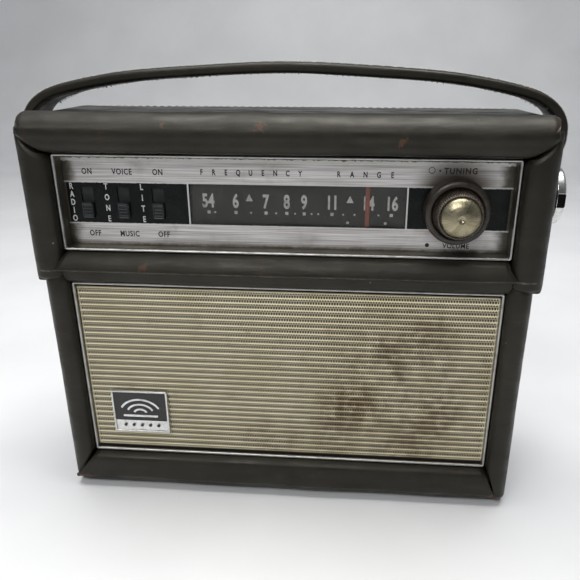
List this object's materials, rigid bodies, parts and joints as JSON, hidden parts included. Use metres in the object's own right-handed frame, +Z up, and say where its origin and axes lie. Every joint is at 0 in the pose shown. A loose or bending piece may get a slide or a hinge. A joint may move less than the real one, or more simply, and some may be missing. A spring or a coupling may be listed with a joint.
{
  "type": "portable radio",
  "caption": "Leather-cased portable transistor radio with a padded hood, recessed dial panel, perforated grille, concentric knobs, slide switches and a strap handle.",
  "frame": {"origin": "on the bottom face, midway between the sides and 33 mm behind the plane of the front trims", "axes": "+X to the right seen from the front, +Y to the back, +Z up"},
  "size_m": [0.2708, 0.0866, 0.2259],
  "materials": {
    "leather": "worn semi-gloss",
    "fibreboard": "matte",
    "chrome_trim": "polished, aged",
    "gilt_grille": "anodised champagne, satin",
    "brushed_panel": "brushed, worn",
    "dial_plastic": "printed, satin",
    "dial_window": "clear",
    "zinc_steel": "zinc plated, satin",
    "vane_aluminium": "satin",
    "button_plastic": "satin",
    "pointer_red": "matte",
    "knob_brown": "satin",
    "knob_gilt": "spun, lacquered",
    "brass": "turned",
    "cone_paper": "matte",
    "cord_fabric": "woven",
    "lamp_glass": "clear",
    "board_laminate": "laminate",
    "capacitor_sleeve": "gloss",
    "ferrite": "matte",
    "copper_wire": "enamelled wire",
    "tray_plastic": "moulded",
    "cell_jacket": "printed jacket, satin"
  },
  "bodies": {
    "case": {"case_frame": "fibreboard", "case_wrap": "leather", "hood_wrap": "leather", "case_rail_left": "leather", "case_rail_right": "leather", "case_rail_bottom": "leather", "hood_rail_top": "leather", "hood_rail_left": "leather", "hood_rail_right": "leather", "hood_rail_lower": "leather", "dial_trim": "chrome_trim", "grille_trim": "chrome_trim", "grille": "gilt_grille", "badge_plate": "chrome_trim", "baffle_board": "fibreboard", "speaker_basket": "zinc_steel", "speaker_magnet": "zinc_steel", "dial_panel": "brushed_panel", "dial_scale": "dial_plastic", "dial_lens": "dial_window", "dial_chassis": "zinc_steel", "power_switch": "zinc_steel", "tone_switch": "zinc_steel", "light_switch": "zinc_steel", "volume_control": "zinc_steel", "tuner_frame": "zinc_steel", "dial_cord": "cord_fabric", "dial_lamp": "lamp_glass", "circuit_board": "board_laminate", "if_can_1": "zinc_steel", "if_can_2": "zinc_steel", "if_can_3": "zinc_steel", "output_transformer": "zinc_steel", "filter_capacitor": "capacitor_sleeve", "ferrite_rod": "ferrite", "antenna_coil": "copper_wire", "battery_tray": "tray_plastic", "cell_1": "cell_jacket", "cell_2": "cell_jacket", "cell_3": "cell_jacket", "cell_4": "cell_jacket", "back_hinge": "leather", "handle_boss_left": "chrome_trim", "handle_boss_right": "chrome_trim"},
    "cone": {"speaker_cone": "cone_paper"},
    "power_button": {"power_slider": "button_plastic"},
    "tone_button": {"tone_slider": "button_plastic"},
    "light_button": {"light_slider": "button_plastic"},
    "pointer": {"dial_pointer": "pointer_red"},
    "tuning": {"tuning_knob": "knob_brown", "tuning_knob_cap": "knob_gilt", "tuning_shaft": "brass"},
    "volume": {"volume_ring": "knob_brown", "volume_sleeve": "brass"},
    "tuner": {"tuner_rotor": "vane_aluminium", "drive_drum": "knob_brown"},
    "left_idler": {"idler_left": "brass"},
    "right_idler": {"idler_right": "brass"},
    "cover": {"back_cover": "leather"},
    "handle": {"handle_strap": "leather"}
  },
  "joints": [
    {"name": "power_slide", "type": "slide", "parent": "case", "child": "power_button", "axis": [0, 0, 1], "range_m": [0, 0.0068]},
    {"name": "tone_slide", "type": "slide", "parent": "case", "child": "tone_button", "axis": [0, 0, 1], "range_m": [0, 0.0068]},
    {"name": "light_slide", "type": "slide", "parent": "case", "child": "light_button", "axis": [0, 0, 1], "range_m": [0, 0.0068]},
    {"name": "tuner_turn", "type": "hinge", "parent": "case", "child": "tuner", "pos_m": [-0.002, -0.01, 0.142], "axis": [0, 1, 0], "range_deg": [-156, 24]},
    {"name": "tuning_turn", "type": "hinge", "parent": "case", "child": "tuning", "pos_m": [0.0809, -0.038, 0.1612], "axis": [0, 1, 0], "range_deg": [-1399, 217]},
    {"name": "pointer_slide", "type": "slide", "parent": "case", "child": "pointer", "axis": [1, 0, 0], "range_m": [-0.0785, 0.0125]},
    {"name": "left_idler_turn", "type": "hinge", "parent": "case", "child": "left_idler", "pos_m": [-0.048, -0.01, 0.1704], "axis": [0, 1, 0], "range_deg": [-900, 140]},
    {"name": "right_idler_turn", "type": "hinge", "parent": "case", "child": "right_idler", "pos_m": [0.066, -0.01, 0.1704], "axis": [0, 1, 0], "range_deg": [-900, 140]},
    {"name": "volume_turn", "type": "hinge", "parent": "case", "child": "volume", "pos_m": [0.0809, -0.032, 0.1612], "axis": [0, 1, 0], "range_deg": [-60, 210]},
    {"name": "cone_travel", "type": "slide", "parent": "case", "child": "cone", "axis": [0, 1, 0], "range_m": [-0.0006, 0.0006], "stiffness_N_per_m": 1500},
    {"name": "cover_hinge", "type": "hinge", "parent": "case", "child": "cover", "pos_m": [0, 0.0365, 0.0022], "axis": [-1, 0, 0], "range_deg": [0, 90]},
    {"name": "handle_swing", "type": "hinge", "parent": "case", "child": "handle", "pos_m": [0, 0, 0.1634], "axis": [1, 0, 0], "range_deg": [-95, 68], "deforming": ["handle_strap"]}
  ],
  "couplings": [
    {"joint": "tuning_turn", "follows": "tuner_turn", "ratio": 8.9525},
    {"joint": "pointer_slide", "follows": "tuner_turn", "m_per_rad": 0.028648},
    {"joint": "left_idler_turn", "follows": "tuner_turn", "ratio": 5.7296},
    {"joint": "right_idler_turn", "follows": "tuner_turn", "ratio": 5.7296}
  ]
}
